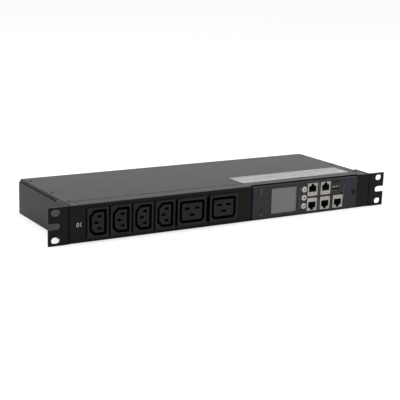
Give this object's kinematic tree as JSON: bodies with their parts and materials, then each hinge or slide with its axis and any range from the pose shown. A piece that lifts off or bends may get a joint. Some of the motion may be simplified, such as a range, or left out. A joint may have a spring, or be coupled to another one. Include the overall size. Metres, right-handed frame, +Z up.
{
  "type": "rack power distribution unit",
  "caption": "Flat rack-mounted power distribution unit with ears, a row of C13 and C19 outlets, and a meter module with a screen, push buttons and network jacks.",
  "frame": {"origin": "centre of the four ear slots, on the rear face of the ears, which lies against the rack rails", "axes": "+X to the right seen from the front, +Y from the front into the rack, +Z up"},
  "size_m": [0.4826, 0.1602, 0.0444],
  "materials": {
    "case_coat": "satin black powder coat with a fine grain",
    "zinc_steel": "bright zinc plating",
    "screw_black": "black oxide",
    "contact_brass": "rolled strip, lightly tarnished",
    "plated_pin": "nickel plating",
    "socket_black": "moulded, finely spark-eroded",
    "lead_brown": "wire insulation",
    "lead_blue": "wire insulation",
    "board_green": "solder mask",
    "component_black": "moulded cases",
    "bezel_grey": "moulded, finely textured",
    "overlay_film": "printed film with a velvet face",
    "window_clear": "clear plastic window",
    "display_grey": "reflective liquid crystal panel, unlit",
    "button_silver": "pale cap with a dark printed mark",
    "plunger_black": "moulded",
    "jack_shield": "drawn nickel-plated shield",
    "insert_black": "moulded",
    "tongue_grey": "pale moulding",
    "light_pipe": "smoked moulding, unlit",
    "ribbon_grey": "ribbon insulation"
  },
  "bodies": {
    "unit": {"c13_outlet_1": "socket_black", "c13_outlet_2": "socket_black", "c13_outlet_3": "socket_black", "c13_outlet_4": "socket_black", "c19_outlet_1": "socket_black", "c19_outlet_2": "socket_black", "c20_inlet": "socket_black", "chassis_tray": "case_coat", "control_ribbon": "ribbon_grey", "cover_posts": "zinc_steel", "current_transformer": "component_black", "display_board": "board_green", "display_panel": "display_grey", "display_window": "window_clear", "earth_busbar": "contact_brass", "earth_lead": "contact_brass", "earth_screw": "zinc_steel", "front_panel": "case_coat", "inlet_pins": "plated_pin", "jack_insert_1": "insert_black", "jack_insert_2": "insert_black", "jack_insert_3": "insert_black", "jack_insert_4": "insert_black", "jack_insert_5": "insert_black", "live_busbar": "contact_brass", "live_lead": "lead_brown", "metering_board": "board_green", "module_bezel": "bezel_grey", "module_board": "board_green", "module_overlay": "overlay_film", "module_screw": "screw_black", "module_tray": "zinc_steel", "network_jack_1": "jack_shield", "network_jack_2": "jack_shield", "network_jack_3": "jack_shield", "network_jack_4": "jack_shield", "network_jack_5": "jack_shield", "neutral_busbar": "contact_brass", "neutral_lead": "lead_blue", "outlet_contacts": "contact_brass", "rack_ear_left": "case_coat", "rack_ear_right": "case_coat", "standoffs": "zinc_steel", "status_light_pipe": "light_pipe", "supply_board": "board_green", "supply_components": "component_black", "tact_switches": "component_black", "top_cover": "case_coat", "usb_insert": "tongue_grey", "usb_shell": "jack_shield"},
    "up_button": {"button_up": "button_silver", "plunger_up": "plunger_black"},
    "select_button": {"button_select": "button_silver", "plunger_select": "plunger_black"},
    "down_button": {"button_down": "button_silver", "plunger_down": "plunger_black"},
    "reset_button": {"reset_plunger": "plunger_black"}
  },
  "joints": [
    {"name": "up_press", "type": "slide", "parent": "unit", "child": "up_button", "axis": [0, 1, 0], "range_m": [0, 0.0008], "stiffness_N_per_m": 400},
    {"name": "select_press", "type": "slide", "parent": "unit", "child": "select_button", "axis": [0, 1, 0], "range_m": [0, 0.0008], "stiffness_N_per_m": 400},
    {"name": "down_press", "type": "slide", "parent": "unit", "child": "down_button", "axis": [0, 1, 0], "range_m": [0, 0.0008], "stiffness_N_per_m": 400},
    {"name": "reset_press", "type": "slide", "parent": "unit", "child": "reset_button", "axis": [0, 1, 0], "range_m": [0, 0.0005], "stiffness_N_per_m": 400}
  ]
}
